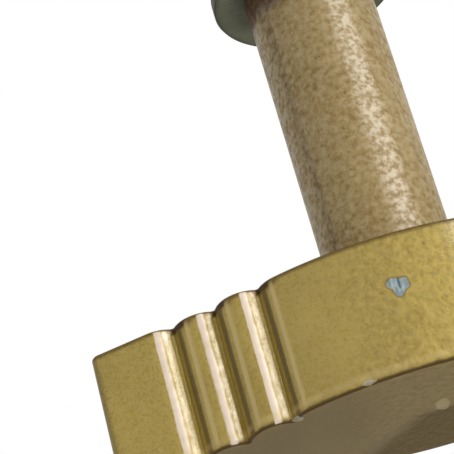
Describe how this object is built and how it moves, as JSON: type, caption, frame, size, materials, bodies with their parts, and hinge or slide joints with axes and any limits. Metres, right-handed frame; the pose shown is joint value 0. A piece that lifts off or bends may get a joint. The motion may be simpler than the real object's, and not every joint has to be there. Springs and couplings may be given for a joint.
{
  "type": "clamping handle",
  "caption": "Winged grip bar with scalloped finger ridges on a long round neck, with a flat washer and a threaded end for clamping.",
  "frame": {"origin": "centre of the bar's flat outer face, on the stud axis, on the surface that the handle stands on", "axes": "+Z along the stud from the bar to the threaded tip, X along the grip bar, Y across it"},
  "size_m": [0.057, 0.0182, 0.0672],
  "materials": {
    "gold_paint": "metallic gold paint over a zinc casting, lightly grained",
    "bronze_paint": "metallic bronze-gold paint, satin, mottled",
    "dark_zinc": "dull dark grey zinc plating",
    "bright_zinc": "bright zinc plating"
  },
  "bodies": {
    "root": {"grip_bar": "gold_paint", "neck_sleeve": "bronze_paint", "washer": "dark_zinc", "clamp_stud": "bright_zinc"}
  },
  "joints": []
}
